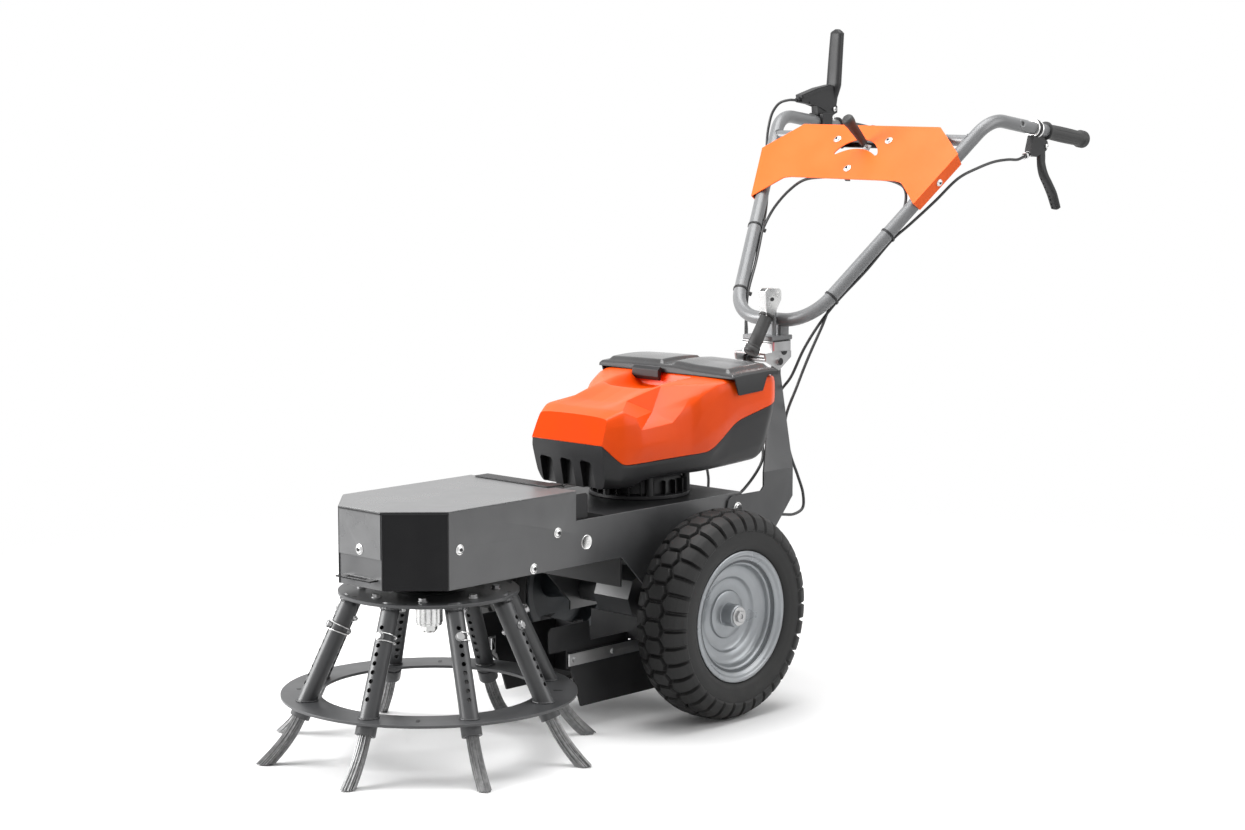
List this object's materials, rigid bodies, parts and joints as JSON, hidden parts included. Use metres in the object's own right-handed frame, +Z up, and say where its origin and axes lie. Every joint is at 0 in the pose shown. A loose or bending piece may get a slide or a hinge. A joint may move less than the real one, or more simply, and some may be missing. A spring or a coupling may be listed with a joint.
{
  "type": "walk-behind weed brush",
  "caption": "Walk-behind machine that scrubs weeds off paving: a battery motor drives a ring of steel brushes ahead of two air-tyred wheels, steered from a folded handlebar.",
  "frame": {"origin": "on the ground, at the centre of the object's box", "axes": "+Z up, the machine drives towards -Y, +X is its left side"},
  "size_m": [0.6178, 1.9952, 1.3266],
  "materials": {
    "dark_paint": "satin dark grey metallic paint",
    "black_paint": "satin black paint",
    "orange_paint": "satin orange powder coat",
    "orange_plastic": "fine textured orange plastic",
    "black_plastic": "fine textured black plastic",
    "zinc": "bright zinc plate",
    "tube_paint": "gloss dark grey powder coat",
    "rim_paint": "satin grey paint",
    "tyre_rubber": "matt black tyre rubber",
    "grip_rubber": "matt black rubber",
    "brush_wire": "dark drawn steel wire"
  },
  "bodies": {
    "chassis": {"battery_pack": "black_plastic", "cross_wall": "dark_paint", "drive_belt": "grip_rubber", "front_wall": "dark_paint", "gearbox": "black_paint", "guard_frame": "black_paint", "left_column_cheek": "dark_paint", "left_side_plate": "dark_paint", "left_skirt": "black_paint", "left_skirt_strip": "zinc", "motor_base": "black_plastic", "motor_cover": "orange_plastic", "motor_deck": "dark_paint", "right_column_cheek": "dark_paint", "right_side_plate": "dark_paint", "right_skirt": "black_paint", "right_skirt_strip": "zinc", "spindle_housing": "black_paint", "top_cover": "dark_paint"},
    "motor_rotor": {"motor_shaft": "zinc"},
    "brush": {"brush_disc": "dark_paint", "brush_ring": "dark_paint", "brush_spindle": "zinc", "leg_tube_1": "dark_paint", "leg_tube_2": "dark_paint", "leg_tube_3": "dark_paint", "leg_tube_4": "dark_paint", "leg_tube_5": "dark_paint", "leg_tube_6": "dark_paint", "leg_tube_7": "dark_paint", "leg_tube_8": "dark_paint"},
    "bristles_1": {"bristle_bundle_1": "brush_wire"},
    "bristles_2": {"bristle_bundle_2": "brush_wire"},
    "bristles_3": {"bristle_bundle_3": "brush_wire"},
    "bristles_4": {"bristle_bundle_4": "brush_wire"},
    "bristles_5": {"bristle_bundle_5": "brush_wire"},
    "bristles_6": {"bristle_bundle_6": "brush_wire"},
    "bristles_7": {"bristle_bundle_7": "brush_wire"},
    "bristles_8": {"bristle_bundle_8": "brush_wire"},
    "left_wheel": {"left_rim": "rim_paint", "left_tyre": "tyre_rubber"},
    "right_wheel": {"right_rim": "rim_paint", "right_tyre": "tyre_rubber"},
    "battery_lid": {"battery_lid": "black_plastic"},
    "lid_latch": {"lid_latch": "black_plastic"},
    "handle_bracket": {"clamp_bracket": "zinc"},
    "handlebar": {"brake_bracket": "black_plastic", "brake_cable": "grip_rubber", "clamp_plate": "zinc", "console_plate": "orange_paint", "deadman_bracket": "black_plastic", "deadman_cable": "grip_rubber", "handlebar_frame": "tube_paint", "left_grip": "grip_rubber", "right_grip": "grip_rubber", "speed_cable": "grip_rubber"},
    "clamp_lever": {"clamp_lever": "black_plastic"},
    "speed_lever": {"speed_lever": "black_plastic"},
    "brake_lever": {"brake_lever": "black_plastic"},
    "deadman_lever": {"deadman_lever": "black_plastic"}
  },
  "joints": [
    {"name": "brush_spin", "type": "hinge", "parent": "chassis", "child": "brush", "pos_m": [0, -0.68872, 0.3019], "axis": [0, 0, 1], "continuous": true},
    {"name": "motor_spin", "type": "hinge", "parent": "chassis", "child": "motor_rotor", "pos_m": [0, -0.12002, 0.364], "axis": [0, 0, 1], "continuous": true},
    {"name": "left_wheel_spin", "type": "hinge", "parent": "chassis", "child": "left_wheel", "pos_m": [0.227, -0.13002, 0.203], "axis": [1, 0, 0], "continuous": true},
    {"name": "right_wheel_spin", "type": "hinge", "parent": "chassis", "child": "right_wheel", "pos_m": [-0.227, -0.13002, 0.203], "axis": [1, 0, 0], "continuous": true},
    {"name": "bristle_slide_1", "type": "slide", "parent": "brush", "child": "bristles_1", "axis": [0.4027, 0.1431, -0.9041], "range_m": [0, 0.09]},
    {"name": "bristle_slide_2", "type": "slide", "parent": "brush", "child": "bristles_2", "axis": [0.1836, 0.3859, -0.9041], "range_m": [0, 0.09]},
    {"name": "bristle_slide_3", "type": "slide", "parent": "brush", "child": "bristles_3", "axis": [-0.1431, 0.4027, -0.9041], "range_m": [0, 0.09]},
    {"name": "bristle_slide_4", "type": "slide", "parent": "brush", "child": "bristles_4", "axis": [-0.3859, 0.1836, -0.9041], "range_m": [0, 0.09]},
    {"name": "bristle_slide_5", "type": "slide", "parent": "brush", "child": "bristles_5", "axis": [-0.4027, -0.1431, -0.9041], "range_m": [0, 0.09]},
    {"name": "bristle_slide_6", "type": "slide", "parent": "brush", "child": "bristles_6", "axis": [-0.1836, -0.3859, -0.9041], "range_m": [0, 0.09]},
    {"name": "bristle_slide_7", "type": "slide", "parent": "brush", "child": "bristles_7", "axis": [0.1431, -0.4027, -0.9041], "range_m": [0, 0.09]},
    {"name": "bristle_slide_8", "type": "slide", "parent": "brush", "child": "bristles_8", "axis": [0.3859, -0.1836, -0.9041], "range_m": [0, 0.09]},
    {"name": "battery_lid_hinge", "type": "hinge", "parent": "chassis", "child": "battery_lid", "pos_m": [0, 0.08998, 0.645], "axis": [-1, 0, 0], "range_deg": [0, 75]},
    {"name": "lid_latch_hinge", "type": "hinge", "parent": "battery_lid", "child": "lid_latch", "pos_m": [-0.04, -0.05202, 0.651], "axis": [-1, 0, 0], "range_deg": [0, 60]},
    {"name": "handlebar_height", "type": "hinge", "parent": "chassis", "child": "handle_bracket", "pos_m": [0, 0.25598, 0.646], "axis": [1, 0, 0], "range_deg": [-10, 12], "deforming": ["brake_cable", "deadman_cable", "speed_cable"]},
    {"name": "handlebar_swivel", "type": "hinge", "parent": "handle_bracket", "child": "handlebar", "pos_m": [0, 0.26798, 0.665], "axis": [0, 0, 1], "range_deg": [-12, 12]},
    {"name": "clamp_lever_hinge", "type": "hinge", "parent": "handlebar", "child": "clamp_lever", "pos_m": [0.024, 0.26248, 0.783], "axis": [-1, 0, 0], "range_deg": [0, 110]},
    {"name": "speed_lever_hinge", "type": "hinge", "parent": "handlebar", "child": "speed_lever", "pos_m": [0, 0.53209, 1.03034], "axis": [0, -0.7464, 0.6654], "range_deg": [-40, 58]},
    {"name": "brake_lever_hinge", "type": "hinge", "parent": "handlebar", "child": "brake_lever", "pos_m": [0.2831, 0.84268, 1.0794], "axis": [1, 0, 0], "range_deg": [0, 45], "stiffness_Nm_per_rad": 1},
    {"name": "deadman_lever_hinge", "type": "hinge", "parent": "handlebar", "child": "deadman_lever", "pos_m": [-0.2831, 0.82798, 1.15], "axis": [-1, 0, 0], "range_deg": [0, 84], "stiffness_Nm_per_rad": 1}
  ],
  "couplings": [
    {"joint": "motor_spin", "follows": "brush_spin", "ratio": 1.4857}
  ]
}
